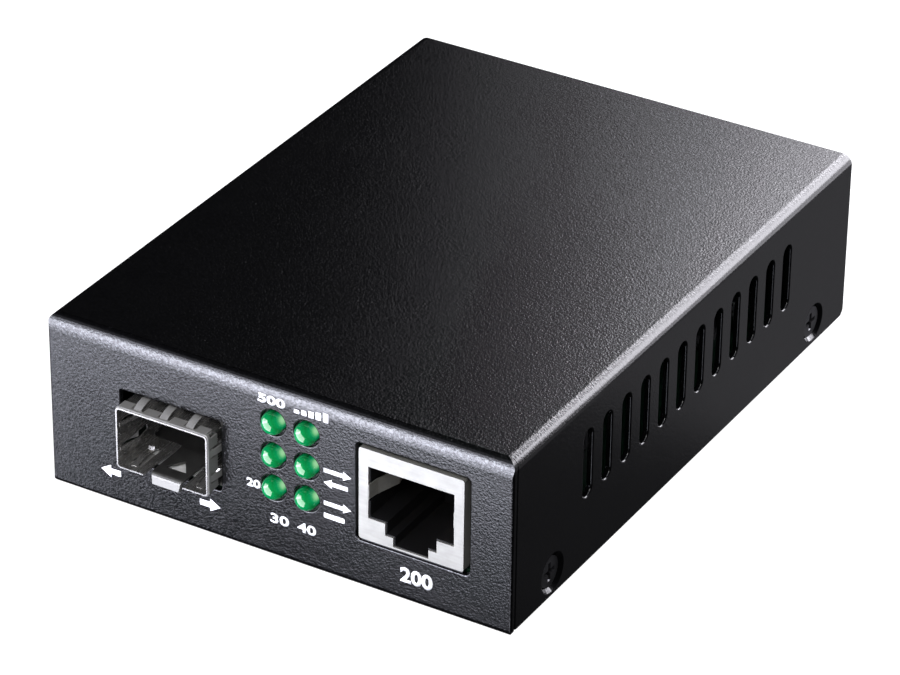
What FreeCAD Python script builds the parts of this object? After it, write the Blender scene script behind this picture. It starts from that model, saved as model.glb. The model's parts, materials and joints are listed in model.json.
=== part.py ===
import FreeCAD, Part
import math, os

# Fibre media converter: a small two-piece sheet-steel case with a pluggable
# optical module cage, six indicator lamps and a copper network socket in front
# and a direct-current inlet at the back.
#
# Everything is drawn in millimetres from the lower left front corner of the
# case (X to the right, Y to the back, Z up) and moved at the end so that the
# part's origin is the centre of its footprint, on the surface it stands on.

V = FreeCAD.Vector

# ---------------------------------------------------------------- case
CASE_W = 70.0            # over the cover's side flanges
CASE_D = 94.0            # front panel face to the cover's rear edge
CASE_H = 26.0
SHEET = 0.8              # steel sheet of tray and cover
BEND_R = 1.5             # outer radius of the cover's long bends
ROLL_R1 = 4.5            # the front panel's rolled top edge starts slack ...
ROLL_A1 = 25.0           # ... turns this many degrees ...
ROLL_R2 = 0.9            # ... and tightens to this radius
ROLL_A2 = 80.0           # turn of the whole roll
FOOT_R = 1.0             # outer radius of the tray's front and rear bends
PANEL_X0, PANEL_X1 = 0.02, 69.98   # front panel, lapping over the flange ends
PANEL_TOP_R = 1.5        # upper corners of the front panel
PANEL_LOW_R = 0.9        # lower corners of the front panel
TRAY_X0, TRAY_X1 = 0.9, 69.1       # tray between the cover's flanges
REAR_FACE = 93.6         # outer face of the rear panel
REAR_TOP = 25.0          # rear panel stops under the cover
COVER_TOP_Y = 1.18       # front edge of the cover's top, behind the roll
ROLL_TIP_Y = 1.08        # the roll ends just before it
FLANGE_Y = 0.88          # front edge of the cover's flanges, behind the panel
FLANGE_Z0 = 0.5          # lower edge of the flanges
FLANGE_TIP_Z = 24.1      # above this the flange steps back from the roll
EDGE_R = 0.25            # edges softened by the powder coat

# vent slots, one row in each flange
VENT_N = 12
VENT_Y0 = 19.1
VENT_PITCH = 5.05
VENT_W = 2.3
VENT_Z0, VENT_Z1 = 10.8, 20.8

# countersunk case screws, two in each flange
SCREW_Y = (10.4, 84.2)
SCREW_Z = 4.0
SINK_R = 2.85            # countersink radius at the flange face
THREAD_R = 1.25
HEAD_R = 2.25
HEAD_SET = 0.45          # head sits this far below the flange face
TAB_H = 8.4
TAB_HALF = 5.0

# ---------------------------------------------------------------- circuit board
PCB_X0, PCB_X1 = 3.4, 66.6
PCB_Y0, PCB_Y1 = 1.2, 91.5
PCB_Z0, PCB_Z1 = 5.8, 7.4
BOARD_SCREWS = ((7.6, 26.0), (62.4, 26.0), (9.2, 78.0), (60.8, 78.0))

# ---------------------------------------------------------------- module cage
SFP_CUT = (11.1, 26.7, 7.45, 17.85, 0.5)     # panel cut-out and corner radius
CAGE_X0, CAGE_X1 = 12.15, 26.25
CAGE_Z0, CAGE_Z1 = 7.75, 16.85
CAGE_T = 0.2           # shell sheet
CAGE_FLOOR_T = 0.3
CAGE_Y0, CAGE_Y1 = -2.6, 45.0
COLLAR_T = 0.15

# ---------------------------------------------------------------- indicator lamps
LED_X = (34.7, 39.7)
LED_Z = (20.4, 15.5, 10.65)
LED_HOLE_R = 1.85
LED_R = 1.6
LED_TIP_Y = -1.5

# ---------------------------------------------------------------- network socket
RJ_CUT = (47.1, 63.8, 7.2, 21.6, 0.7)
RJ_XC = 55.4
RJ_W = 15.4
RJ_Z0, RJ_Z1 = 7.75, 21.3
RJ_FACE_Y = -0.3
RJ_T = 0.25
RJ_BACK_Y = 17.7

# ---------------------------------------------------------------- power inlet
DC_X = 50.0
DC_Z = PCB_Z1 + 6.4
DC_NOSE_R = 4.0
DC_BORE_R = 3.2
DC_PIN_R = 1.05          # free length of the centre pin
DC_ROOT_R = 1.35         # thicker root pressed into the body
DC_FACE_Y = 93.9
DC_BORE_END = 84.4
DC_PIN_TIP = 92.6

# part origin: centre of the footprint's bounding box
ORIGIN_X = CASE_W / 2.0
ORIGIN_Y = (CAGE_Y0 + CASE_D) / 2.0

os.makedirs("parts", exist_ok=True)


# ---------------------------------------------------------------- helpers
def at(plane, off, a, b):
    if plane == "yz":
        return V(off, a, b)
    if plane == "xz":
        return V(a, off, b)
    return V(a, b, off)


def wire(plane, off, segs):
    """Closed wire of lines ("L", a, b) and arcs ("A", mid a, mid b, a, b)."""
    edges = []
    start = cur = at(plane, off, segs[0][1], segs[0][2])
    for s in segs[1:]:
        if s[0] == "L":
            nxt = at(plane, off, s[1], s[2])
            if (nxt - cur).Length > 1e-9:
                edges.append(Part.LineSegment(cur, nxt).toShape())
        else:
            nxt = at(plane, off, s[3], s[4])
            edges.append(Part.Arc(cur, at(plane, off, s[1], s[2]), nxt).toShape())
        cur = nxt
    if (start - cur).Length > 1e-9:
        edges.append(Part.LineSegment(cur, start).toShape())
    return Part.Wire(edges)


def prism(plane, a, b, segs):
    d = {"yz": V(b - a, 0, 0), "xz": V(0, b - a, 0), "xy": V(0, 0, b - a)}[plane]
    return Part.Face(wire(plane, a, segs)).extrude(d)


def corner(ca, cb, r, a0, a1):
    """Arc segment about (ca, cb) that ends at angle a1, in degrees."""
    m = math.radians((a0 + a1) / 2.0)
    e = math.radians(a1)
    return ("A", ca + r * math.cos(m), cb + r * math.sin(m),
            ca + r * math.cos(e), cb + r * math.sin(e))


def rrect(plane, a, b, u0, u1, v0, v1, r=0.0):
    """Prism of a rounded rectangle; r is one radius or (bl, br, tr, tl)."""
    bl, br, tr, tl = r if isinstance(r, tuple) else (r, r, r, r)
    segs = [("M", u0 + bl, v0), ("L", u1 - br, v0)]
    if br:
        segs.append(corner(u1 - br, v0 + br, br, 270, 360))
    segs.append(("L", u1, v1 - tr))
    if tr:
        segs.append(corner(u1 - tr, v1 - tr, tr, 0, 90))
    segs.append(("L", u0 + tl, v1))
    if tl:
        segs.append(corner(u0 + tl, v1 - tl, tl, 90, 180))
    segs.append(("L", u0, v0 + bl))
    if bl:
        segs.append(corner(u0 + bl, v0 + bl, bl, 180, 270))
    return prism(plane, a, b, segs)


def poly(plane, a, b, pts):
    return prism(plane, a, b, [("M",) + tuple(pts[0])] + [("L",) + tuple(p) for p in pts[1:]])


def box(x0, x1, y0, y1, z0, z1):
    return Part.makeBox(x1 - x0, y1 - y0, z1 - z0, V(x0, y0, z0))


def cyl_x(r, x0, x1, y, z):
    return Part.makeCylinder(r, x1 - x0, V(x0, y, z), V(1, 0, 0))


def cyl_y(r, y0, y1, x, z):
    return Part.makeCylinder(r, y1 - y0, V(x, y0, z), V(0, 1, 0))


def cyl_z(r, z0, z1, x, y):
    return Part.makeCylinder(r, z1 - z0, V(x, y, z0), V(0, 0, 1))


def ribbon(plane, a, b, pts, t):
    """Strip of thickness t that follows a line of points, mitred at its bends."""
    n = len(pts)
    left, right = [], []
    for i in range(n):
        dirs = []
        if i > 0:
            dirs.append((pts[i][0] - pts[i - 1][0], pts[i][1] - pts[i - 1][1]))
        if i < n - 1:
            dirs.append((pts[i + 1][0] - pts[i][0], pts[i + 1][1] - pts[i][1]))
        norms = []
        for dx, dy in dirs:
            k = math.hypot(dx, dy)
            norms.append((-dy / k, dx / k))
        mx = sum(q[0] for q in norms) / len(norms)
        my = sum(q[1] for q in norms) / len(norms)
        k2 = mx * mx + my * my
        mx, my = mx / k2, my / k2
        left.append((pts[i][0] + mx * t / 2.0, pts[i][1] + my * t / 2.0))
        right.append((pts[i][0] - mx * t / 2.0, pts[i][1] - my * t / 2.0))
    return poly(plane, a, b, left + right[::-1])


def fused(shapes):
    s = shapes[0]
    if len(shapes) > 1:
        s = s.multiFuse(shapes[1:])
    return s.removeSplitter()


def mirror_x(shape):
    """Mirror about the middle plane of the case."""
    return shape.mirror(V(CASE_W / 2.0, 0, 0), V(1, 0, 0))


def soften(shape, r, test):
    """Round the edges that test(edge) picks."""
    edges = [e for e in shape.Edges if test(e)]
    return shape.makeFillet(r, edges)


def near(a, b, tol=1e-3):
    return abs(a - b) < tol


def ends(e):
    return [v.Point for v in e.Vertexes]


def mid(e):
    return e.valueAt((e.FirstParameter + e.LastParameter) / 2.0)


nodes = {}


def keep(name, shape):
    if isinstance(shape, (list, tuple)):
        solids = []
        for s in shape:
            solids.extend(s.Solids)
        shape = Part.makeCompound(solids)
    elif len(shape.Solids) == 1:
        shape = shape.Solids[0]
    shape = shape.copy()
    shape.translate(V(-ORIGIN_X, -ORIGIN_Y, 0))
    nodes[name] = shape


# ---------------------------------------------------------------- screw seat
def seat_cone(side_x, inward):
    """90 degree countersink that runs through flange and tab."""
    reach = SINK_R - THREAD_R
    return [Part.makeCone(SINK_R + 0.3, THREAD_R, reach + 0.3,
                          V(side_x - 0.3 * inward, y, SCREW_Z), V(inward, 0, 0))
            for y in SCREW_Y]


# ---------------------------------------------------------------- chassis tray
def chassis_tray():
    t = SHEET
    fo = FOOT_R
    fi = fo - t
    r1, r2 = ROLL_R1, ROLL_R2
    a1, a2 = math.radians(ROLL_A1), math.radians(ROLL_A2)
    # centres of the roll's two arcs; its tip comes flush with the cover's top
    c2y = r1 - (r1 - r2) * math.cos(a1)
    c2z = CASE_H - 0.02 - r2 * math.sin(a2)
    zr = c2z - (r1 - r2) * math.sin(a1)

    def arc(cy, cz, r, k0, k1):
        return corner(cy, cz, r, 180 - k0, 180 - k1)
    path = [("M", c2y - r2 * math.cos(a2), c2z + r2 * math.sin(a2)),
            arc(c2y, c2z, r2, ROLL_A2, ROLL_A1),
            arc(r1, zr, r1, ROLL_A1, 0),
            ("L", 0, fo),
            corner(fo, fo, fo, 180, 270),
            ("L", REAR_FACE - fo, 0),
            corner(REAR_FACE - fo, fo, fo, 270, 360),
            ("L", REAR_FACE, REAR_TOP),
            ("L", REAR_FACE - t, REAR_TOP),
            ("L", REAR_FACE - t, fo),
            corner(REAR_FACE - fo, fo, fi, 0, -90),
            ("L", fo, t),
            corner(fo, fo, fi, 270, 180),
            ("L", t, zr),
            arc(r1, zr, r1 - t, 0, ROLL_A1),
            arc(c2y, c2z, r2 - t, ROLL_A1, ROLL_A2)]
    sheet = prism("yz", PANEL_X0, PANEL_X1, path)
    corners = (PANEL_LOW_R, PANEL_LOW_R, PANEL_TOP_R, PANEL_TOP_R)
    face = rrect("xz", -1.0, t, PANEL_X0, PANEL_X1, 0, CASE_H, corners)
    roll = rrect("xz", -1.0, ROLL_TIP_Y, PANEL_X0, PANEL_X1, 0, CASE_H, corners)
    roll = roll.common(box(-1, 71, -2, 3, zr - 0.1, 27))
    inside = rrect("xz", t, CASE_D + 1, TRAY_X0, TRAY_X1, -1, REAR_TOP, (0, 0, 0.9, 0.9))
    s = sheet.common(fused([face, roll, inside]))
    s = s.cut(box(-1, 71, ROLL_TIP_Y, 3, zr, 27))
    # upright front edges of the panel, rounded by the coat
    s = s.common(rrect("xy", -1, CASE_H + 1, PANEL_X0, PANEL_X1, 0, CASE_D + 1, (0.3, 0.3, 0, 0)))

    # folded tabs that take the case screws
    for y in SCREW_Y:
        y0, y1 = y - TAB_HALF, y + TAB_HALF
        x0 = TRAY_X0
        for flip in (False, True):
            relief = box(x0 - 0.1, x0 + fo + 0.4, y0 - 0.6, y1 + 0.6, -0.5, t + 0.4)
            leg = prism("xz", y0, y1, [("M", x0, TAB_H), ("L", x0, fo),
                                       corner(x0 + fo, fo, fo, 180, 270),
                                       ("L", x0 + fo + 0.8, 0), ("L", x0 + fo + 0.8, t),
                                       ("L", x0 + fo, t),
                                       corner(x0 + fo, fo, fi, 270, 180),
                                       ("L", x0 + t, TAB_H)])
            leg = leg.common(rrect("yz", x0 - 1, x0 + 4, y0, y1, -1, TAB_H, (0, 0, 1.5, 1.5)))
            collar = cyl_x(2.15, x0 + t - 0.2, x0 + t + 1.3, y, SCREW_Z)
            if flip:
                relief, leg, collar = mirror_x(relief), mirror_x(leg), mirror_x(collar)
            s = s.cut(relief).multiFuse([leg, collar])
    holes = []
    for x, inward in ((0.0, 1), (CASE_W, -1)):
        holes += seat_cone(x, inward)
    for y in SCREW_Y:
        holes += [cyl_x(THREAD_R, 0.5, 4.2, y, SCREW_Z), cyl_x(THREAD_R, CASE_W - 4.2, CASE_W - 0.5, y, SCREW_Z)]

    # openings in the front panel
    x0, x1, z0, z1, r = SFP_CUT
    holes.append(rrect("xz", -0.5, 1.3, x0, x1, z0, z1, r))
    x0, x1, z0, z1, r = RJ_CUT
    holes.append(rrect("xz", -0.5, 1.3, x0, x1, z0, z1, r))
    for x in LED_X:
        for z in LED_Z:
            holes.append(cyl_y(LED_HOLE_R, -0.5, 1.3, x, z))
    # inlet hole in the rear panel
    holes.append(cyl_y(DC_NOSE_R + 0.2, 92.0, 94.5, DC_X, DC_Z))
    # clinch holes for the board's standoffs
    for x, y in BOARD_SCREWS:
        holes.append(cyl_z(2.1, -0.5, 1.2, x, y))
    s = s.cut(Part.makeCompound(holes)).removeSplitter()

    # coat-softened rims of the openings
    def rim(e):
        m = mid(e)
        return all(near(q.y, 0.0) for q in ends(e) + [m]) and 2.0 < m.x < 68.0 and 3.0 < m.z < 23.4
    s = soften(s, EDGE_R, rim)
    return s


keep("chassis_tray", chassis_tray())


# ---------------------------------------------------------------- top cover
def top_cover():
    t, ro = SHEET, BEND_R
    ri = ro - t
    w, h = CASE_W, CASE_H
    path = [("M", 0, FLANGE_Z0), ("L", 0, h - ro), corner(ro, h - ro, ro, 180, 90),
            ("L", w - ro, h), corner(w - ro, h - ro, ro, 90, 0),
            ("L", w, FLANGE_Z0), ("L", w - t, FLANGE_Z0), ("L", w - t, h - ro),
            corner(w - ro, h - ro, ri, 0, 90), ("L", ro, h - t),
            corner(ro, h - ro, ri, 90, 180), ("L", t, FLANGE_Z0)]
    s = prism("xz", COVER_TOP_Y, CASE_D, path)
    tip = box(0, t, FLANGE_Y, COVER_TOP_Y + 0.5, FLANGE_Z0, FLANGE_TIP_Z)
    s = fused([s, tip, mirror_x(tip)])
    # rounded lower corners of the flanges
    s = soften(s, 1.2, lambda e: near(abs(ends(e)[0].x - ends(e)[-1].x), t)
               and near(mid(e).z, FLANGE_Z0) and near(mid(e).y, CASE_D))
    s = soften(s, 0.6, lambda e: len(e.Vertexes) == 2 and near(abs(ends(e)[0].x - ends(e)[-1].x), t)
               and near(mid(e).z, FLANGE_Z0) and near(mid(e).y, FLANGE_Y))
    cuts = []
    r = VENT_W / 2.0
    for i in range(VENT_N):
        y = VENT_Y0 + i * VENT_PITCH
        cuts.append(prism("yz", -1, CASE_W + 1, [
            ("M", y - r, VENT_Z0 + r), corner(y, VENT_Z0 + r, r, 180, 360),
            ("L", y + r, VENT_Z1 - r), corner(y, VENT_Z1 - r, r, 0, 180)]))
    for x, inward in ((0.0, 1), (CASE_W, -1)):
        cuts += seat_cone(x, inward)
    s = s.cut(Part.makeCompound(cuts)).removeSplitter()

    def outer(e):
        p = ends(e) + [mid(e)]
        m = mid(e)
        if m.y < COVER_TOP_Y + 0.01:
            return False                   # edges behind the panel stay crisp
        if all(near(q.x, 0.0) for q in p) or all(near(q.x, CASE_W) for q in p):
            return True                    # flange outline, vents and screw seats
        if all(near(q.z, CASE_H) for q in p):
            return all(near(q.y, CASE_D) for q in p)
        # rear ends of the two long bends
        if all(near(q.y, CASE_D) for q in p) and m.z > h - ro:
            for cx in (ro, w - ro):
                if near(math.hypot(m.x - cx, m.z - (h - ro)), ro, 0.02):
                    return True
        return False

    def drop_tangent(e):
        p = ends(e)
        # the bend's own tangent lines run the whole depth and stay
        return not (len(p) == 2 and near(p[0].z, p[1].z) and abs(p[0].y - p[1].y) > 50
                    and p[0].z > 20)
    s = soften(s, EDGE_R, lambda e: outer(e) and drop_tangent(e))
    return s


keep("top_cover", top_cover())


# ---------------------------------------------------------------- case screws
def case_screw(y):
    rim0 = HEAD_SET
    rim1 = SINK_R - HEAD_R
    tip = 4.7
    s = fused([cyl_x(HEAD_R, rim0, rim1, y, SCREW_Z),
               Part.makeCone(HEAD_R, THREAD_R, HEAD_R - THREAD_R, V(rim1, y, SCREW_Z), V(1, 0, 0)),
               cyl_x(THREAD_R, rim1 + HEAD_R - THREAD_R, tip - 0.4, y, SCREW_Z),
               Part.makeCone(THREAD_R, 0.85, 0.4, V(tip - 0.4, y, SCREW_Z), V(1, 0, 0))])
    cross = fused([box(rim0 - 0.1, rim0 + 1.0, y - 0.33, y + 0.33, SCREW_Z - 1.4, SCREW_Z + 1.4),
                   box(rim0 - 0.1, rim0 + 1.0, y - 1.4, y + 1.4, SCREW_Z - 0.33, SCREW_Z + 0.33)])
    taper = Part.makeCone(1.45, 0.45, 1.1, V(rim0 - 0.1, y, SCREW_Z), V(1, 0, 0))
    return s.cut(cross.common(taper))


screws = []
for y in SCREW_Y:
    a = case_screw(y)
    screws += [a, mirror_x(a)]
keep("case_screws", screws)


# ---------------------------------------------------------------- board and its fastenings
def board():
    s = rrect("xy", PCB_Z0, PCB_Z1, PCB_X0, PCB_X1, PCB_Y0, PCB_Y1, 1.0)
    cuts = [cyl_z(1.6, PCB_Z0 - 1, PCB_Z1 + 1, x, y) for x, y in BOARD_SCREWS]
    for dx in (-5.72, 5.72):
        cuts.append(cyl_z(1.65, PCB_Z0 - 1, PCB_Z1 + 1, RJ_XC + dx, 8.6))
    return s.cut(Part.makeCompound(cuts))


keep("main_pcb", board())

standoffs, board_screws = [], []
for x, y in BOARD_SCREWS:
    s = fused([cyl_z(2.5, SHEET, PCB_Z0, x, y), cyl_z(2.1, 0.05, SHEET + 0.1, x, y)])
    standoffs.append(s.cut(cyl_z(1.25, 1.8, PCB_Z0 + 1, x, y)))
    head = cyl_z(2.4, PCB_Z1, PCB_Z1 + 1.7, x, y)
    head = head.makeFillet(0.6, [e for e in head.Edges if near(mid(e).z, PCB_Z1 + 1.7) and len(e.Vertexes) == 1])
    s = fused([head, cyl_z(1.25, 2.6, PCB_Z1 + 0.1, x, y)])
    z = PCB_Z1 + 1.7
    cross = fused([box(x - 1.3, x + 1.3, y - 0.35, y + 0.35, z - 1.0, z + 0.1),
                   box(x - 0.35, x + 0.35, y - 1.3, y + 1.3, z - 1.0, z + 0.1)])
    board_screws.append(s.cut(cross))
keep("pcb_standoffs", standoffs)
keep("pcb_screws", board_screws)


# ---------------------------------------------------------------- module cage
def lance(side, z):
    """Spring strip cut from a cage wall and bent into the slot as a shallow V."""
    x = CAGE_X0
    pts = [(x + 0.13, -2.0), (x + 0.95, 1.5), (x + 0.55, 3.9)]
    s = ribbon("xy", z - 0.3, z + 0.3, pts, 0.22)
    return s


def cage_shell():
    t = CAGE_T
    tube = rrect("xz", CAGE_Y0, CAGE_Y1, CAGE_X0, CAGE_X1, CAGE_Z0, CAGE_Z1, 0.6)
    tube = tube.cut(rrect("xz", CAGE_Y0 - 1, CAGE_Y1 + 1, CAGE_X0 + t, CAGE_X1 - t,
                          CAGE_Z0 + t, CAGE_Z1 - t, 0.4))
    # the lower side is two lips at the mouth and open behind them
    slot = poly("xy", CAGE_Z0 - 1, CAGE_Z0 + t + 0.35,
                [(16.2, CAGE_Y0 - 1), (22.4, CAGE_Y0 - 1), (22.0, 6.1), (16.6, 6.1)])
    under = box(CAGE_X0 - 1, CAGE_X1 + 1, 6.0, CAGE_Y1 + 1, CAGE_Z0 - 1, CAGE_Z0 + 0.6)
    s = tube.cut(Part.makeCompound([slot, under]))
    # windows beside the spring strips, two in each side wall
    wins = []
    for z in (13.9, 10.2):
        wins.append(box(CAGE_X0 - 0.5, CAGE_X1 + 0.5, -1.6, 4.3, z - 0.55, z + 0.55))
    # pairs of openings in the top that let heat out, well behind the panel
    for y in (16.0, 21.0, 26.0, 31.0):
        for x in (15.2, 19.2, 23.2):
            wins.append(cyl_z(0.9, CAGE_Z1 - 1, CAGE_Z1 + 1, x, y))
    # latch windows for the floor's flanges
    for y in (14.0, 28.0):
        wins.append(box(CAGE_X0 - 0.5, CAGE_X1 + 0.5, y - 1.2, y + 1.2, 9.2, 10.0))
    s = s.cut(Part.makeCompound(wins))
    strips = []
    for z in (13.9, 10.2):
        a = lance(0, z)
        root = box(CAGE_X0, CAGE_X0 + t, -2.3, -1.5, z - 0.3, z + 0.3)
        strips += [a, root]
        m = V((CAGE_X0 + CAGE_X1) / 2.0, 0, 0)
        strips += [a.mirror(m, V(1, 0, 0)), root.mirror(m, V(1, 0, 0))]
    # lip springs beside the latch tongue
    for x in (14.1, 24.3):
        w = box(x - 0.9, x + 0.9, -1.3, 3.4, CAGE_Z0 - 0.5, CAGE_Z0 + t + 0.2)
        s = s.cut(w)
        strips.append(ribbon("yz", x - 0.45, x + 0.45,
                             [(-1.5, CAGE_Z0 + 0.13), (0.9, CAGE_Z0 + 0.55), (2.5, CAGE_Z0 + 0.35),
                              (2.75, CAGE_Z0 + 0.95)], 0.22))
    rear = rrect("xz", CAGE_Y1 - t, CAGE_Y1, CAGE_X0 + t - 0.1, CAGE_X1 - t + 0.1, 13.6, CAGE_Z1 - t + 0.1, 0)
    return fused([s, rear] + strips)


keep("sfp_cage_shell", cage_shell())


def cage_floor():
    t = CAGE_FLOOR_T
    x0, x1 = CAGE_X0 - t - 0.02, CAGE_X1 + t + 0.02
    z1 = CAGE_Z0
    # floor sheet under the walls, with a flange folded up outside each wall
    s = box(x0, x1, 6.05, 32.6, z1 - t, z1)
    fl = [box(x0, x0 + t, 9.0, 31.6, z1 - t, 11.2), box(x1 - t, x1, 9.0, 31.6, z1 - t, 11.2)]
    # latch tongue: rises between the lips and folds down at the mouth
    tx0, tx1 = 16.85, 21.75
    zt = CAGE_Z0 + 0.15
    pts = [(8.4, z1 - t / 2.0), (6.8, z1 - t / 2.0 + 0.05), (5.4, zt), (-1.2, zt)]
    r = 0.55
    for k in (20, 40, 60, 80):
        a = math.radians(k)
        pts.append((-1.2 - r * math.sin(a), zt - r * (1 - math.cos(a))))
    pts.append((pts[-1][0] - 0.95 * math.cos(a), pts[-1][1] - 0.95 * math.sin(a)))
    tongue = ribbon("yz", tx0, tx1, pts, t)
    plan = prism("xy", 5.0, 10.0, [("M", tx0, 9), ("L", tx0, -1.15), corner(tx0 + 1.15, -1.15, 1.15, 180, 270),
                                   ("L", tx1 - 1.15, -2.3), corner(tx1 - 1.15, -1.15, 1.15, 270, 360), ("L", tx1, 9)])
    tongue = tongue.common(plan)
    xc = (tx0 + tx1) / 2.0
    hole = poly("xy", 6.0, 9.5, [(xc - 1.7, 0.35), (xc + 1.7, 0.35), (xc, 2.75)])
    tongue = tongue.cut(hole)
    s = fused([s, tongue] + fl)
    # snap dimples on the flanges that sit in the shell's windows are pressed too
    # lightly to show; the two lengthwise slots let the floor flex
    s = s.cut(Part.makeCompound([box(14.2, 15.0, 11, 29, z1 - 1, z1 + 1), box(23.4, 24.2, 11, 29, z1 - 1, z1 + 1)]))
    return s


keep("sfp_cage_floor", cage_floor())


def spring_collar():
    """Grounding collar round the cage: a front band, flat pads and arched fingers."""
    c = COLLAR_T
    x0, x1, z0, z1 = CAGE_X0, CAGE_X1, CAGE_Z0, CAGE_Z1
    ya, yb = CAGE_Y0 + 0.12, -1.95
    ring = rrect("xz", ya, yb, x0 - c, x1 + c, z0 - c, z1 + c, 0.72)
    ring = ring.makeChamfer(0.12, [e for e in ring.Edges if near(mid(e).y, ya)])
    ring = ring.cut(rrect("xz", ya - 1, yb + 1, x0, x1, z0, z1, 0.6))
    ring = ring.cut(box(16.2, 22.4, ya - 1, yb + 1, z0 - 1, z0 + 0.5))
    bits = [ring]
    yp = -0.75
    for a, b in ((12.45, 14.2), (16.1, 18.3), (20.15, 22.3), (24.2, 25.95)):
        bits.append(box(a, b, yb - 0.1, yp, z1, z1 + c))
    for a, b in ((14.75, 16.3), (10.95, 13.15), (8.35, 9.45)):
        bits.append(box(x1, x1 + c, yb - 0.1, -0.3, a, b))
        bits.append(box(x0 - c, x0, yb - 0.1, -0.3, a, b))
    for a, b in ((12.8, 13.5), (15.1, 16.2), (22.4, 23.5), (25.0, 25.6)):
        bits.append(box(a, b, yb - 0.1, -0.3, z0 - c, z0))

    def arch(plane, a, b, base, lift, sign):
        # fingers spring from the band, touch the cut-out's rim and end inside
        k = sign
        o = [(-2.05, base + k * c), (0.1, base + k * (lift + c)), (2.5, base + k * (c + 0.02))]
        i = [(-2.05, base + k * 0.0), (0.1, base + k * lift), (2.5, base + k * 0.02)]
        segs_pts = (o, i)
        if plane == "yz":
            return prism("yz", a, b, [("M",) + o[0], ("A",) + o[1] + o[2], ("L",) + i[2], ("A",) + i[1] + i[0]])
        sw = lambda p: (p[1], p[0])
        return prism("xy", a, b, [("M",) + sw(o[0]), ("A",) + sw(o[1]) + sw(o[2]), ("L",) + sw(i[2]),
                                  ("A",) + sw(i[1]) + sw(i[0])])
    for xc in (15.2, 19.25, 23.25):
        bits.append(arch("yz", xc - 0.57, xc + 0.57, z1, 0.72, 1))
    for zc in (13.95, 10.2):
        bits.append(arch("xy", zc - 0.5, zc + 0.5, x1, 0.24, 1))
        bits.append(arch("xy", zc - 0.5, zc + 0.5, x0, 0.75, -1))
    for xc in (14.3, 24.2):
        bits.append(arch("yz", xc - 0.5, xc + 0.5, z0, 0.12, -1))
    return fused(bits)


keep("sfp_spring_collar", spring_collar())


def host_connector():
    s = box(13.6, 24.8, 33.6, 42.4, PCB_Z1, 13.1)
    s = s.cut(Part.makeCompound([
        box(14.3, 24.1, 33.0, 39.2, 9.7, 11.3),       # card-edge slot
        box(14.6, 23.8, 35.0, 42.0, 11.29, 12.5),     # room for the upper contacts
        box(14.6, 23.8, 35.0, 42.0, 8.4, 9.71),       # room for the lower contacts
        box(14.6, 23.8, 41.9, 43.0, 7.0, 12.5),       # tails, rear row
        box(14.6, 23.8, 34.9, 36.2, 7.0, 8.6),        # tails, front row
    ]))
    s = s.makeFillet(0.3, [e for e in s.Edges if near(mid(e).z, 13.1) and near(mid(e).y, 33.6)])
    pins = []
    for i in range(10):
        x = 19.2 + (i - 4.5) * 0.8
        pins.append(ribbon("yz", x - 0.17, x + 0.17,
                           [(35.6, 11.55), (37.0, 11.3), (41.2, 11.9), (42.25, 11.9), (42.25, PCB_Z1 + 0.12), (43.2, PCB_Z1 + 0.12)], 0.22))
        pins.append(ribbon("yz", x + 0.23, x + 0.55,
                           [(39.6, 9.2), (37.0, 9.62), (35.55, 9.0), (35.55, PCB_Z1 + 0.12), (34.2, PCB_Z1 + 0.12)], 0.22))
    return s, pins


hc, hc_pins = host_connector()
# the lower row's tails leave through a shallow groove under the body's front edge
hc = hc.cut(box(14.6, 23.8, 33.0, 36.2, 7.0, 7.75))
keep("sfp_host_connector", hc)
keep("sfp_connector_contacts", hc_pins)


# ---------------------------------------------------------------- network socket
def stepped(a, b, grow, low):
    """Tab-down socket mouth: wide plug bay over two steps for the latch."""
    c = RJ_XC
    w1, w2, w3 = 6.3 + grow, 3.8 + grow, 2.6 + grow
    z_top, z_a, z_b, z_c = 18.8 + grow, 11.1 - grow, 9.3 - grow, low
    return poly("xz", a, b, [(c - w3, z_c), (c + w3, z_c), (c + w3, z_b), (c + w2, z_b), (c + w2, z_a),
                             (c + w1, z_a), (c + w1, z_top), (c - w1, z_top), (c - w1, z_a),
                             (c - w2, z_a), (c - w2, z_b), (c - w3, z_b)])


def rj_shield():
    x0, x1 = RJ_XC - RJ_W / 2.0, RJ_XC + RJ_W / 2.0
    t = RJ_T
    s = rrect("xz", RJ_FACE_Y, RJ_BACK_Y, x0, x1, RJ_Z0, RJ_Z1, 0.35)
    s = s.cut(box(x0 + t, x1 - t, RJ_FACE_Y + t, RJ_BACK_Y - t, RJ_Z0 - 1, RJ_Z1 - t))
    s = s.cut(box(x0 - 1, x1 + 1, 1.2, RJ_BACK_Y + 1, RJ_Z0 - 1, RJ_Z0 + 0.36))
    s = s.cut(stepped(RJ_FACE_Y - 1, RJ_FACE_Y + t + 0.01, 0.0, 8.0))
    # grounding springs folded from the mouth's sides into the plug bay
    tabs = []
    for k in (-1, 1):
        xw = RJ_XC + k * 6.3
        tabs.append(ribbon("xy", 13.9, 16.1, [(xw, RJ_FACE_Y + 0.05), (xw - k * 0.25, 1.6), (xw - k * 1.35, 5.0), (xw - k * 0.75, 7.4)], 0.2))
        # side springs pressed outward from the shield, behind the panel
        xs = RJ_XC + k * RJ_W / 2.0
        win = box(xs - 0.6, xs + 0.6, 3.5, 8.5, 13.0, 16.0)
        s = s.cut(win)
        tabs.append(ribbon("xy", 13.3, 15.7, [(xs - k * 0.125, 3.4), (xs + k * 0.5, 6.2), (xs + k * 0.25, 7.8)], 0.2))
    return fused([s] + tabs)


keep("rj45_shield", rj_shield())


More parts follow.
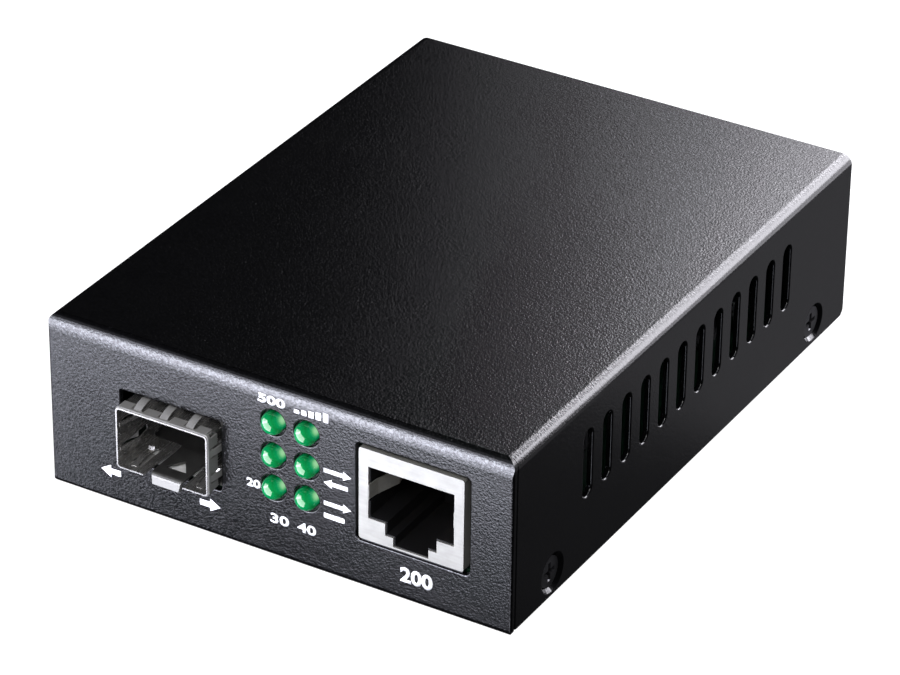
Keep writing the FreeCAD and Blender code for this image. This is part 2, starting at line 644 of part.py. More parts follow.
def rj_housing():
    x0, x1 = RJ_XC - RJ_W / 2.0 + RJ_T, RJ_XC + RJ_W / 2.0 - RJ_T
    ya, yb = RJ_FACE_Y + RJ_T, RJ_BACK_Y - RJ_T
    s = box(x0, x1, ya, yb, PCB_Z1, RJ_Z1 - RJ_T)
    # the front strip of the shield's lower edge wraps the block's foot
    s = s.cut(stepped(ya - 1, 12.2, -0.15, 8.1))
    # contact chamber over the plug bay and down the back
    s = s.cut(Part.makeCompound([
        box(RJ_XC - 4.2, RJ_XC + 4.2, 1.9, 16.5, 18.2, 19.8),
        box(RJ_XC - 4.2, RJ_XC + 4.2, 14.9, 16.5, PCB_Z1 - 1, 19.8)]))
    # recesses beside the bay for the grounding springs
    for k in (-1, 1):
        xa = RJ_XC + k * 6.0
        xb = RJ_XC + k * 6.75
        s = s.cut(box(min(xa, xb), max(xa, xb), ya - 1, 8.4, 13.6, 16.4))
        # clearance behind the shield's side springs
        xs = RJ_XC + k * (RJ_W / 2.0 - RJ_T)
        s = s.cut(box(min(xs, xs - k * 0.25), max(xs, xs - k * 0.25), 3.0, 8.8, 12.8, 16.2))
    pegs = [cyl_z(1.6, PCB_Z0 - 0.6, PCB_Z1 + 0.5, RJ_XC + dx, 8.6) for dx in (-5.72, 5.72)]
    return fused([s] + pegs)


keep("rj45_housing", rj_housing())

contacts = []
for i in range(8):
    x = RJ_XC + (i - 3.5) * 1.02
    contacts.append(ribbon("yz", x - 0.18, x + 0.18,
                           [(11.4, 15.95), (10.2, 15.85), (2.6, 18.45), (2.35, 18.8), (2.6, 19.2), (15.7, 19.2), (15.7, PCB_Z1)], 0.28))
keep("rj45_contacts", contacts)


# ---------------------------------------------------------------- indicator lamps
names_x = ("left", "right")
names_z = ("top", "middle", "bottom")
LED_FLANGE_Y = 3.7
for i, x in enumerate(LED_X):
    for j, z in enumerate(LED_Z):
        cy = LED_TIP_Y + LED_R
        bulb = [Part.makeSphere(LED_R, V(x, cy, z)), cyl_y(LED_R, cy, LED_FLANGE_Y, x, z),
                cyl_y(1.9, LED_FLANGE_Y, LED_FLANGE_Y + 0.9, x, z)]
        keep("led_%s_%s" % (names_x[i], names_z[j]), fused(bulb))
    s = box(x - 2.42, x + 2.42, 1.0, 6.6, PCB_Z1, 23.0)
    s = s.makeFillet(0.3, [e for e in s.Edges if near(mid(e).z, 23.0)])
    cuts = []
    for z in LED_Z:
        cuts += [cyl_y(LED_R + 0.05, 0.5, 4.0, x, z), cyl_y(1.95, LED_FLANGE_Y, 7.5, x, z)]
    keep("led_holder_%s" % names_x[i], s.cut(Part.makeCompound(cuts)))
leads = []
for x in LED_X:
    for z, y in zip(LED_Z, (10.0, 8.8, 7.6)):
        for dx in (-1.27, 1.27):
            leads.append(ribbon("yz", x + dx - 0.22, x + dx + 0.22, [(LED_FLANGE_Y + 0.9, z), (y, z), (y, PCB_Z1)], 0.45))
keep("led_leads", leads)


# ---------------------------------------------------------------- power inlet
def dc_body():
    s = rrect("xy", PCB_Z1, PCB_Z1 + 11.0, DC_X - 4.5, DC_X + 4.5, 79.6, 91.7, 0.0)
    s = s.makeFillet(0.5, [e for e in s.Edges if near(mid(e).z, PCB_Z1 + 11.0)])
    s = fused([s, cyl_y(DC_NOSE_R, 91.0, DC_FACE_Y, DC_X, DC_Z)])
    s = s.cut(Part.makeCompound([
        cyl_y(DC_BORE_R, DC_BORE_END, 95, DC_X, DC_Z),
        cyl_y(DC_ROOT_R, 79.0, DC_BORE_END + 0.1, DC_X, DC_Z),
        box(DC_X - 1.6, DC_X + 1.6, 83.0, 90.4, PCB_Z1 - 1, DC_Z - 3.0)]))
    s = s.makeFillet(0.25, [e for e in s.Edges if near(mid(e).y, DC_FACE_Y) and len(e.Vertexes) <= 2])
    return s


keep("dc_jack_body", dc_body())
pin = fused([cyl_y(DC_ROOT_R, 79.6, DC_BORE_END, DC_X, DC_Z),
             cyl_y(DC_PIN_R, DC_BORE_END - 0.1, DC_PIN_TIP - 0.5, DC_X, DC_Z),
             Part.makeCone(DC_PIN_R, 0.5, 0.5, V(DC_X, DC_PIN_TIP - 0.5, DC_Z), V(0, 1, 0))])
keep("dc_jack_pin", pin)
keep("dc_jack_contacts", [
    ribbon("yz", DC_X - 1.3, DC_X + 1.3, [(90.0, PCB_Z1 + 2.3), (87.2, PCB_Z1 + 3.25), (83.9, PCB_Z1 + 2.6), (83.3, PCB_Z1 + 2.2), (83.3, PCB_Z1)], 0.25),
    ribbon("yz", DC_X - 1.5, DC_X + 1.5, [(79.45, DC_Z + 1.4), (79.45, PCB_Z1)], 0.3)])


# ---------------------------------------------------------------- board components
def chip(xc, yc, lx, ly, h, n, pitch, reach, w, along="y", gap=0.1):
    """Gull-wing package: body and its leads on two opposite sides."""
    z = PCB_Z1
    body = box(xc - lx / 2.0, xc + lx / 2.0, yc - ly / 2.0, yc + ly / 2.0, z + gap, z + h)
    body = body.makeChamfer(0.12, [e for e in body.Edges if near(mid(e).z, z + h)])
    leads = []
    for i in range(n):
        o = (i - (n - 1) / 2.0) * pitch
        if along == "y":
            e = lx / 2.0
            prof = [(e - 0.05, z + h * 0.5), (e + reach * 0.4, z + h * 0.5), (e + reach * 0.55, z + 0.1), (e + reach, z + 0.1)]
            for k in (1, -1):
                leads.append(ribbon("xz", yc + o - w / 2.0, yc + o + w / 2.0,
                                    [(xc + k * p, q) for p, q in prof], 0.18))
        else:
            e = ly / 2.0
            prof = [(e - 0.05, z + h * 0.5), (e + reach * 0.4, z + h * 0.5), (e + reach * 0.55, z + 0.1), (e + reach, z + 0.1)]
            for k in (1, -1):
                leads.append(ribbon("yz", xc + o - w / 2.0, xc + o + w / 2.0,
                                    [(yc + k * p, q) for p, q in prof], 0.18))
    return body, leads


# converter chip, a square package with leads on four sides
CH_X, CH_Y = 38.0, 52.0
body, la = chip(CH_X, CH_Y, 12.0, 12.0, 1.5, 12, 0.8, 1.1, 0.34, "y")
body_b, lb = chip(CH_X, CH_Y, 12.0, 12.0, 1.5, 12, 0.8, 1.1, 0.34, "x")
body = body.cut(cyl_z(0.6, PCB_Z1 + 1.42, PCB_Z1 + 2, CH_X - 4.8, CH_Y - 4.8))
keep("converter_chip", body)
keep("converter_chip_leads", [q.cut(body) for q in la + lb])

body, la = chip(55.4, 32.5, 12.8, 7.4, 5.6, 8, 1.27, 1.2, 0.45, "x")
keep("lan_transformer", fused([body] + la))
body, la = chip(24.0, 58.0, 3.9, 4.9, 1.6, 4, 1.27, 1.0, 0.42, "y")
keep("eeprom_chip", fused([body] + la))

can = prism("xy", PCB_Z1 + 0.4, PCB_Z1 + 3.6, [("M", 27.5, 66.0), ("L", 34.0, 66.0), corner(34.0, 68.3, 2.3, 270, 450),
                                              ("L", 27.5, 70.6), corner(27.5, 68.3, 2.3, 90, 270)])
rim = prism("xy", PCB_Z1, PCB_Z1 + 0.45, [("M", 27.5, 65.6), ("L", 34.0, 65.6), corner(34.0, 68.3, 2.7, 270, 450),
                                          ("L", 27.5, 71.0), corner(27.5, 68.3, 2.7, 90, 270)])
keep("crystal", fused([can, rim]))

coil = rrect("xy", PCB_Z1, PCB_Z1 + 1.0, 56.0, 63.0, 64.0, 71.0, 0.6)
drum = fused([coil, cyl_z(2.4, PCB_Z1, PCB_Z1 + 4.2, 59.5, 67.5), cyl_z(3.3, PCB_Z1 + 3.4, PCB_Z1 + 4.2, 59.5, 67.5)])
keep("power_inductor", drum)

caps = []
for x, y in ((39.0, 84.0), (30.6, 84.0)):
    c = cyl_z(3.15, PCB_Z1, PCB_Z1 + 7.7, x, y)
    groove = Part.makeTorus(3.35, 0.35, V(x, y, PCB_Z1 + 1.5), V(0, 0, 1))
    c = c.cut(groove)
    c = c.makeFillet(0.3, [e for e in c.Edges if near(mid(e).z, PCB_Z1 + 7.7) and e.Length > 15])
    caps.append(c)
keep("smoothing_capacitors", caps)

reg = fused([box(47.0, 53.5, 68.0, 71.5, PCB_Z1 + 0.05, PCB_Z1 + 1.7), box(48.8, 51.7, 71.4, 73.2, PCB_Z1, PCB_Z1 + 0.3)]
            + [box(x - 0.35, x + 0.35, 66.4, 68.1, PCB_Z1, PCB_Z1 + 0.3) for x in (47.95, 50.25, 52.55)])
keep("voltage_regulator", reg)
dio = fused([box(44.0, 48.3, 75.6, 78.2, PCB_Z1 + 0.1, PCB_Z1 + 2.2), box(43.4, 44.3, 76.2, 77.6, PCB_Z1, PCB_Z1 + 1.0),
             box(48.0, 48.9, 76.2, 77.6, PCB_Z1, PCB_Z1 + 1.0)])
keep("input_diode", dio)
keep("resettable_fuse", fused([box(53.0, 57.5, 74.9, 77.9, PCB_Z1 + 0.05, PCB_Z1 + 1.0), box(52.6, 53.4, 74.9, 77.9, PCB_Z1, PCB_Z1 + 1.1),
                               box(57.1, 57.9, 74.9, 77.9, PCB_Z1, PCB_Z1 + 1.1)]))

res = [box(x - 0.8, x + 0.8, y - 0.4, y + 0.4, PCB_Z1, PCB_Z1 + 0.45)
       for x, y in ((31.0, 14.5), (31.0, 16.5), (31.0, 18.5), (34.7, 14.5), (37.2, 14.5), (39.7, 14.5), (42.2, 14.5),
                    (30.0, 50.0), (30.0, 52.0), (46.6, 49.0), (46.6, 51.0), (46.6, 53.0), (24.0, 64.0), (20.5, 64.0))]
keep("smd_resistors", res)
cer = [box(x - 0.6, x + 0.6, y - 1.0, y + 1.0, PCB_Z1, PCB_Z1 + 0.9)
       for x, y in ((34.0, 42.0), (37.0, 42.0), (40.0, 42.0), (43.0, 42.0), (34.0, 62.0), (37.5, 62.0), (41.0, 62.0),
                    (52.0, 41.0), (55.4, 41.0), (58.8, 41.0), (44.5, 70.0), (54.9, 69.8))]
keep("smd_capacitors", cer)


# ---------------------------------------------------------------- save
for name, shape in nodes.items():
    if not shape.isValid():
        print("INVALID", name)
    shape.exportStep("parts/%s.step" % name)
    bb = shape.BoundBox
    print("%-24s solids %3d faces %4d vol %9.2f  x %7.2f %7.2f y %7.2f %7.2f z %6.2f %6.2f" % (
        name, len(shape.Solids), len(shape.Faces), shape.Volume, bb.XMin, bb.XMax, bb.YMin, bb.YMax, bb.ZMin, bb.ZMax))
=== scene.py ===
import json
import math

import bpy
import bmesh
from mathutils import Matrix, Vector

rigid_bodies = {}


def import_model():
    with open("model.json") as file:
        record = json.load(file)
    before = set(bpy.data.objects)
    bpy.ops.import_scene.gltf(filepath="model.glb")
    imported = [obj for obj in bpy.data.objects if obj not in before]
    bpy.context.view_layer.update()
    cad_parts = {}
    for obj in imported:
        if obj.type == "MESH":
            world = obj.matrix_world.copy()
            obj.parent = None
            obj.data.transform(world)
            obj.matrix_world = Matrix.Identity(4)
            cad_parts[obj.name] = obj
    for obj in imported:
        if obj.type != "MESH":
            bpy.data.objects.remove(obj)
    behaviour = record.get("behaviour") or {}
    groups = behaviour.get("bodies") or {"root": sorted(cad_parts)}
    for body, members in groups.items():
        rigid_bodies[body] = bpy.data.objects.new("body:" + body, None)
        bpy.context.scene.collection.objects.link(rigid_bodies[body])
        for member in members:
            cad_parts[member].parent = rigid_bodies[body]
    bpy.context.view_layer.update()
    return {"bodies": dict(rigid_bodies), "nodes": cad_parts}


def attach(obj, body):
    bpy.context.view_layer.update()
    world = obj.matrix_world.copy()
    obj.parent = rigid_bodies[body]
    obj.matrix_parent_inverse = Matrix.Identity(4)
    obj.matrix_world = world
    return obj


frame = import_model()
NODES = frame["nodes"]
MM = 0.001

# The CAD part's origin is the centre of its footprint. Places below are given in
# millimetres from the lower left front corner of the case, as on a drawing of it.
OX, OY = 35.0, 45.7


def P(x, y, z):
    return Vector(((x - OX) * MM, (y - OY) * MM, z * MM))


# ------------------------------------------------------------------ node helpers
class Mat:
    """A principled material and the few node shortcuts used below."""

    def __init__(self, name, **sockets):
        self.m = bpy.data.materials.new(name)
        self.m.use_nodes = True
        self.t = self.m.node_tree
        self.t.nodes.clear()
        self.out = self.t.nodes.new("ShaderNodeOutputMaterial")
        self.bsdf = self.t.nodes.new("ShaderNodeBsdfPrincipled")
        self.t.links.new(self.bsdf.outputs[0], self.out.inputs[0])
        self.coord = self.t.nodes.new("ShaderNodeTexCoord").outputs["Object"]
        for k, v in sockets.items():
            self.set(k, v)

    def set(self, name, value):
        s = self.bsdf.inputs[name.replace("_", " ")]
        if isinstance(value, bpy.types.NodeSocket):
            self.t.links.new(value, s)
        else:
            if s.type == "RGBA" and len(value) == 3:
                value = (*value, 1.0)
            s.default_value = value

    def node(self, kind, inputs=None, **props):
        n = self.t.nodes.new(kind)
        for k, v in props.items():
            setattr(n, k, v)
        for k, v in (inputs or {}).items():
            s = n.inputs[k]
            if isinstance(v, bpy.types.NodeSocket):
                self.t.links.new(v, s)
            else:
                if s.type == "RGBA" and len(v) == 3:
                    v = (*v, 1.0)
                s.default_value = v
        return n

    def scaled(self, sx, sy=None, sz=None, loc=(0, 0, 0), rot=(0, 0, 0)):
        """Object coordinates in metres, scaled per axis."""
        sy = sx if sy is None else sy
        sz = sx if sz is None else sz
        n = self.node("ShaderNodeMapping", {"Vector": self.coord})
        n.inputs["Scale"].default_value = (sx, sy, sz)
        n.inputs["Location"].default_value = loc
        n.inputs["Rotation"].default_value = rot
        return n.outputs[0]

    def noise(self, size_mm, detail=2.0, rough=0.5, vec=None, distortion=0.0):
        n = self.node("ShaderNodeTexNoise", {"Vector": vec if vec is not None else self.coord})
        n.inputs["Scale"].default_value = 1.0 / (size_mm * MM) if size_mm else 1.0
        n.inputs["Detail"].default_value = detail
        n.inputs["Roughness"].default_value = rough
        n.inputs["Distortion"].default_value = distortion
        return n.outputs[0]

    def cells(self, size_mm, feature="SMOOTH_F1", vec=None, smooth=0.6, out="Distance", randomness=1.0):
        n = self.node("ShaderNodeTexVoronoi", {"Vector": vec if vec is not None else self.coord}, feature=feature)
        n.inputs["Scale"].default_value = 1.0 / (size_mm * MM)
        if "Smoothness" in n.inputs:
            n.inputs["Smoothness"].default_value = smooth
        n.inputs["Randomness"].default_value = randomness
        return n.outputs[out]

    def math(self, op, a, b=None, c=None, clamp=False):
        n = self.t.nodes.new("ShaderNodeMath")
        n.operation = op
        n.use_clamp = clamp
        for i, v in enumerate((a, b, c)):
            if v is None:
                continue
            if isinstance(v, bpy.types.NodeSocket):
                self.t.links.new(v, n.inputs[i])
            else:
                n.inputs[i].default_value = v
        return n.outputs[0]

    def ramp(self, fac, stops, interp="LINEAR"):
        n = self.t.nodes.new("ShaderNodeValToRGB")
        self.t.links.new(fac, n.inputs[0])
        cr = n.color_ramp
        cr.interpolation = interp
        while len(cr.elements) > 1:
            cr.elements.remove(cr.elements[-1])
        for i, (pos, col) in enumerate(stops):
            e = cr.elements[0] if i == 0 else cr.elements.new(pos)
            e.position = pos
            if isinstance(col, (int, float)):
                col = (col, col, col)
            e.color = (*col, 1.0)
        return n.outputs[0]

    def remap(self, v, a, b, c, d, clamp=True):
        n = self.node("ShaderNodeMapRange", clamp=clamp)
        self.t.links.new(v, n.inputs["Value"])
        n.inputs["From Min"].default_value = a
        n.inputs["From Max"].default_value = b
        n.inputs["To Min"].default_value = c
        n.inputs["To Max"].default_value = d
        return n.outputs[0]

    def mix(self, fac, a, b, blend="MIX"):
        n = self.node("ShaderNodeMix", data_type="RGBA", blend_type=blend)
        for idx, v in ((0, fac), (6, a), (7, b)):
            s = n.inputs[idx]
            if isinstance(v, bpy.types.NodeSocket):
                self.t.links.new(v, s)
            elif idx == 0:
                s.default_value = v
            else:
                s.default_value = (*v, 1.0) if len(v) == 3 else v
        return n.outputs[2]

    def bump(self, height, dist_mm, strength=1.0, normal=None):
        n = self.node("ShaderNodeBump")
        n.inputs["Strength"].default_value = strength
        n.inputs["Distance"].default_value = dist_mm * MM
        self.t.links.new(height, n.inputs["Height"])
        if normal is not None:
            self.t.links.new(normal, n.inputs["Normal"])
        return n.outputs[0]

    def axis(self, which):
        n = self.node("ShaderNodeSeparateXYZ", {0: self.coord})
        return n.outputs["XYZ".index(which)]


def use(mat, *names):
    """Gives CAD nodes this finish."""
    for n in names:
        o = NODES[n]
        o.data.materials.clear()
        o.data.materials.append(mat.m)


# ------------------------------------------------------------------ finishes
def case_paint():
    """Charcoal powder coat: fine pebbles of about 0.3 mm with finer grain between."""
    m = Mat("case_paint", IOR=1.5)
    big = m.noise(0.30, 1.0, 0.6)
    small = m.noise(0.16, 0.0)
    broad = m.noise(9.0, 3.0, 0.55)
    h = m.math("ADD", m.math("MULTIPLY", big, 1.0), m.math("MULTIPLY", small, 0.40))
    # the coat lies smoother on the sides and over the bends than on the top and the front
    on_top = m.remap(m.axis("Z"), 25.7 * MM, 25.985 * MM, 0.0, 1.05)
    on_front = m.remap(m.axis("Y"), (0.02 - OY) * MM, (0.4 - OY) * MM, 0.65, 0.0)
    amp = m.math("ADD", m.math("MAXIMUM", on_top, on_front), 0.35)
    h = m.math("MULTIPLY", m.math("SUBTRACT", h, 0.7), amp)
    col = m.ramp(big, [(0.34, (0.0008, 0.0008, 0.0009)), (0.5, (0.0012, 0.0012, 0.0014)), (0.66, (0.0020, 0.0020, 0.0023))])
    col = m.mix(m.remap(broad, 0.35, 0.65, 0.0, 0.25), col, (0.0013, 0.0013, 0.0015))
    m.set("Base Color", col)
    m.set("Roughness", m.remap(m.math("ADD", m.math("MULTIPLY", small, 0.5), m.math("MULTIPLY", broad, 0.5)), 0.3, 0.7, 0.155, 0.215))
    # the hollows between pebbles reflect less than their crowns
    crown = m.remap(m.noise(0.36, 1.0, 0.6), 0.32, 0.68, -0.15, 0.15)
    m.set("Specular IOR Level", m.math("ADD", m.math("MULTIPLY", crown, m.remap(amp, 0.35, 1.0, 0.3, 1.0)), 0.51))
    m.set("Normal", m.bump(h, 0.038, 1.0))
    return m


def metal(name, color, rough=(0.25, 0.4), grain=None, grain_mm=0.25, bump_mm=0.004, tint=None):
    """Plated or bare metal with a rolled grain along one axis and faint handling marks."""
    m = Mat(name, Metallic=1.0)
    if grain == "X":
        vec = m.scaled(1 / (grain_mm * 14 * MM), 1 / (grain_mm * MM), 1 / (grain_mm * MM))
    elif grain == "Y":
        vec = m.scaled(1 / (grain_mm * MM), 1 / (grain_mm * 14 * MM), 1 / (grain_mm * MM))
    elif grain == "Z":
        vec = m.scaled(1 / (grain_mm * MM), 1 / (grain_mm * MM), 1 / (grain_mm * 14 * MM))
    else:
        vec = m.scaled(1 / (grain_mm * MM))
    n = m.t.nodes.new("ShaderNodeTexNoise")
    m.t.links.new(vec, n.inputs["Vector"])
    n.inputs["Scale"].default_value = 1.0
    n.inputs["Detail"].default_value = 3.0
    g = n.outputs[0]
    cloud = m.noise(2.2, 3.0, 0.6)
    dark = tuple(c * 0.80 for c in color)
    lite = tint or tuple(min(1.0, c * 1.06) for c in color)
    col = m.ramp(m.math("ADD", m.math("MULTIPLY", g, 0.45), m.math("MULTIPLY", cloud, 0.55)), [(0.32, dark), (0.68, lite)])
    m.set("Base Color", col)
    m.set("Roughness", m.remap(m.math("ADD", m.math("MULTIPLY", g, 0.5), m.math("MULTIPLY", cloud, 0.5)), 0.32, 0.68, rough[0], rough[1]))
    m.set("Normal", m.bump(g, bump_mm, 0.8))
    return m


def plastic(name, color, rough=(0.35, 0.5), grain_mm=0.12, bump_mm=0.004, coat=0.0, spec=None):
    """Moulded plastic: fine spark-eroded grain and slow changes of tone."""
    m = Mat(name)
    g = m.noise(grain_mm, 2.0, 0.6)
    cloud = m.noise(3.0, 2.0, 0.5)
    lo = tuple(c * 0.78 for c in color)
    hi = tuple(min(1.0, c * 1.22 + 0.002) for c in color)
    m.set("Base Color", m.ramp(m.math("ADD", m.math("MULTIPLY", g, 0.6), m.math("MULTIPLY", cloud, 0.4)), [(0.3, lo), (0.7, hi)]))
    m.set("Roughness", m.remap(m.math("ADD", m.math("MULTIPLY", g, 0.6), m.math("MULTIPLY", cloud, 0.4)), 0.3, 0.7, rough[0], rough[1]))
    m.set("Normal", m.bump(g, bump_mm, 0.8))
    if coat:
        m.set("Coat Weight", coat)
        m.set("Coat Roughness", 0.06)
    if spec is not None:
        m.set("Specular IOR Level", spec)
    return m


paint = case_paint()
use(paint, "chassis_tray", "top_cover")

black_oxide = metal("screw_black", (0.10, 0.10, 0.104), (0.34, 0.50), None, 0.12, 0.003)
use(black_oxide, "case_screws")
zinc = metal("steel_zinc", (0.62, 0.64, 0.66), (0.22, 0.36), None, 0.2, 0.003)
use(zinc, "pcb_standoffs", "pcb_screws", "dc_jack_pin")

cage = metal("cage_nickel", (0.50, 0.49, 0.465), (0.20, 0.32), "Y", 0.16, 0.003)
cage.set("Metallic", 0.92)
use(cage, "sfp_cage_shell")
# painted shade: the floor inside the cage is a much darker copy of the shell's nickel
use(metal("cage_floor_nickel_painted_shade", (0.17, 0.167, 0.157), (0.44, 0.56), "Y", 0.16, 0.006), "sfp_cage_floor")
# painted shade: this nickel is darker than the shell's, standing for the shade on the collar's fingers
collar = metal("collar_nickel_painted_shade", (0.27, 0.265, 0.253), (0.40, 0.54), "X", 0.12, 0.003)
collar.set("Metallic", 0.35)
use(collar, "sfp_spring_collar")
shield = metal("socket_shield", (0.37, 0.366, 0.335), (0.34, 0.42), "X", 0.4, 0.0012)
shield.set("Metallic", 0.55)
use(shield, "rj45_shield")

black = plastic("black_plastic", (0.005, 0.005, 0.0056), (0.30, 0.42))
use(black, "rj45_housing", "sfp_host_connector", "dc_jack_body", "led_holder_left", "led_holder_right")
gold = metal("contact_gold", (0.86, 0.62, 0.26), (0.16, 0.28), "Y", 0.1, 0.001)
use(gold, "rj45_contacts", "sfp_connector_contacts")
tin = metal("tinned_lead", (0.72, 0.72, 0.71), (0.22, 0.38), None, 0.18, 0.003)
use(tin, "led_leads", "dc_jack_contacts", "converter_chip_leads")


def lamp_green_painted_glow(name, cx, cz):
    """Tinted epoxy lens about the axis (cx, cz), with a painted glow: toward its upper right far side the base colour
    turns lighter and an emission rises, standing in for light gathered there; the lamp is not lit.
    """
    m = Mat(name, Metallic=0.0, IOR=1.5)
    dx = m.math("SUBTRACT", m.axis("X"), (cx - OX) * MM)
    dz = m.math("SUBTRACT", m.axis("Z"), cz * MM)
    glow_coord = m.math("ADD", m.math("MULTIPLY", dx, 0.86 / (1.6 * MM)), m.math("MULTIPLY", dz, 0.51 / (1.6 * MM)))
    cloud = m.noise(1.6, 1.0, 0.5)
    body = m.ramp(cloud, [(0.3, (0.0, 0.094, 0.029)), (0.7, (0.0003, 0.116, 0.037))])
    # painted glow: the green base turns lighter toward the far side of the lens
    body = m.mix(m.remap(glow_coord, 0.0, 0.95, 0.0, 1.0), body, (0.004, 0.20, 0.045))
    # painted glow: an emission along the far rim stands in for light gathered in the epoxy, not a lit lamp
    m.set("Emission Color", m.ramp(glow_coord, [(0.60, (0.0, 0.0, 0.0)), (0.72, (0.0, 0.09, 0.03)), (0.83, (0.0, 0.17, 0.065)),
                                          (0.913, (0.04, 0.33, 0.13)), (0.955, (0.17, 0.50, 0.22)), (1.0, (0.34, 0.66, 0.36))]))
    m.set("Emission Strength", 1.0)
    m.set("Base Color", body)
    m.set("Roughness", m.remap(m.noise(0.25, 2.0), 0.3, 0.7, 0.07, 0.10))
    m.set("Normal", m.bump(m.noise(0.5, 1.0), 0.0008, 0.3))
    return m


LAMPS = {"led_left_top": (34.7, 20.4), "led_left_middle": (34.7, 15.5), "led_left_bottom": (34.7, 10.65),
         "led_right_top": (39.7, 20.4), "led_right_middle": (39.7, 15.5), "led_right_bottom": (39.7, 10.65)}
for lamp, (cx, cz) in LAMPS.items():
    use(lamp_green_painted_glow(lamp + "_epoxy", cx, cz), lamp)


def board():
    """Green solder mask with tracks under it, and a tinned ground area below the module cage."""
    m = Mat("board_green", Coat_Weight=0.2, Coat_Roughness=0.14)
    x, y, z = m.axis("X"), m.axis("Y"), m.axis("Z")
    weave = m.node("ShaderNodeTexWave", {"Vector": m.scaled(1 / (0.5 * MM)), "Scale": 1.0, "Distortion": 0.4, "Detail": 1.0}, bands_direction="DIAGONAL").outputs[0]
    br = m.node("ShaderNodeTexBrick", {"Vector": m.scaled(220.0), "Color1": (0.0, 0.0, 0.0), "Color2": (1.0, 1.0, 1.0), "Mortar": (0.35, 0.35, 0.35),
                                       "Scale": 1.0, "Mortar Size": 0.06, "Brick Width": 0.62, "Row Height": 0.21}).outputs[0]
    cloud = m.noise(6.0, 3.0)
    # painted shade: the mask and its tracks are kept near black, standing for the shade inside the closed case
    mask_painted_shade = m.ramp(cloud, [(0.3, (0.0018, 0.014, 0.006)), (0.7, (0.003, 0.023, 0.0095))])
    tracks = m.remap(br, 0.3, 0.8, 0.0, 0.55)
    mask_painted_shade = m.mix(tracks, mask_painted_shade, (0.005, 0.036, 0.015))
    # tinned ground area under the module cage's mouth
    inx = m.math("MULTIPLY", m.math("GREATER_THAN", x, (12.0 - OX) * MM), m.math("LESS_THAN", x, (27.0 - OX) * MM))
    iny = m.math("MULTIPLY", m.math("GREATER_THAN", y, (1.0 - OY) * MM), m.math("LESS_THAN", y, (7.0 - OY) * MM))
    pad = m.math("MULTIPLY", m.math("MULTIPLY", inx, iny), m.math("GREATER_THAN", z, 7.35 * MM))
    tin_col = m.ramp(m.noise(0.8, 3.0), [(0.3, (0.82, 0.82, 0.80)), (0.7, (0.93, 0.93, 0.92))])
    m.set("Base Color", m.mix(pad, mask_painted_shade, tin_col))
    m.set("Metallic", m.math("MULTIPLY", pad, 0.15))
    m.set("Roughness", m.remap(m.math("ADD", m.noise(0.4, 2.0), m.math("MULTIPLY", pad, 0.1)), 0.3, 0.8, 0.30, 0.44))
    h = m.math("ADD", m.math("MULTIPLY", weave, 0.25), m.math("MULTIPLY", br, 0.75))
    m.set("Normal", m.bump(h, 0.02, 0.5))
    return m


use(board(), "main_pcb")

epoxy = plastic("chip_epoxy", (0.022, 0.022, 0.024), (0.50, 0.66), 0.09, 0.006)
use(epoxy, "converter_chip", "input_diode")


def leaded(name, body, x0, x1, y0, y1):
    """Moulded body with tinned ends outside the given plan rectangle (millimetres)."""
    m = Mat(name)
    x, y, z = m.axis("X"), m.axis("Y"), m.axis("Z")
    ins = None
    for a, lo, hi in ((x, (x0 - OX) * MM, (x1 - OX) * MM), (y, (y0 - OY) * MM, (y1 - OY) * MM)):
        t = m.math("MULTIPLY", m.math("GREATER_THAN", a, lo), m.math("LESS_THAN", a, hi))
        ins = t if ins is None else m.math("MULTIPLY", ins, t)
    lead = m.math("SUBTRACT", 1.0, ins)
    g = m.noise(0.1, 2.0, 0.6)
    bodyc = m.ramp(g, [(0.3, tuple(c * 0.8 for c in body)), (0.7, tuple(c * 1.25 for c in body))])
    tinc = m.ramp(m.noise(0.6, 3.0), [(0.3, (0.58, 0.58, 0.57)), (0.7, (0.76, 0.76, 0.75))])
    m.set("Base Color", m.mix(lead, bodyc, tinc))
    m.set("Metallic", lead)
    m.set("Roughness", m.math("SUBTRACT", m.remap(g, 0.3, 0.7, 0.48, 0.62), m.math("MULTIPLY", lead, 0.22)))
    m.set("Normal", m.bump(g, 0.005, 0.8))
    return m


EPS = 0.02
use(leaded("transformer_body", (0.020, 0.020, 0.022), 55.4 - 6.4 - EPS, 55.4 + 6.4 + EPS, 32.5 - 3.7 - EPS, 32.5 + 3.7 + EPS), "lan_transformer")
use(leaded("memory_body", (0.022, 0.022, 0.024), 24.0 - 1.95 - EPS, 24.0 + 1.95 + EPS, 55.0, 61.0), "eeprom_chip")
use(metal("can_steel", (0.68, 0.68, 0.67), (0.20, 0.32), "X", 0.2, 0.002), "crystal")


def ferrite():
    m = Mat("ferrite_body")
    g = m.noise(0.16, 4.0, 0.65)
    m.set("Base Color", m.ramp(g, [(0.3, (0.030, 0.030, 0.032)), (0.7, (0.085, 0.085, 0.090))]))
    m.set("Roughness", m.remap(g, 0.3, 0.7, 0.55, 0.75))
    m.set("Normal", m.bump(g, 0.015, 0.9))
    return m


use(ferrite(), "power_inductor")


def capacitor():
    """Sleeved can: dark sleeve and bare aluminium top."""
    m = Mat("capacitor_body")
    z = m.axis("Z")
    top = m.math("GREATER_THAN", z, (7.4 + 7.35) * MM)
    g = m.noise(0.3, 3.0)
    sleeve = m.ramp(g, [(0.3, (0.018, 0.020, 0.030)), (0.7, (0.030, 0.033, 0.046))])
    alu = m.ramp(g, [(0.3, (0.66, 0.67, 0.69)), (0.7, (0.80, 0.81, 0.82))])
    m.set("Base Color", m.mix(top, sleeve, alu))
    m.set("Metallic", top)
    m.set("Roughness", m.remap(g, 0.3, 0.7, 0.26, 0.36))
    m.set("Normal", m.bump(g, 0.003, 0.6))
    return m


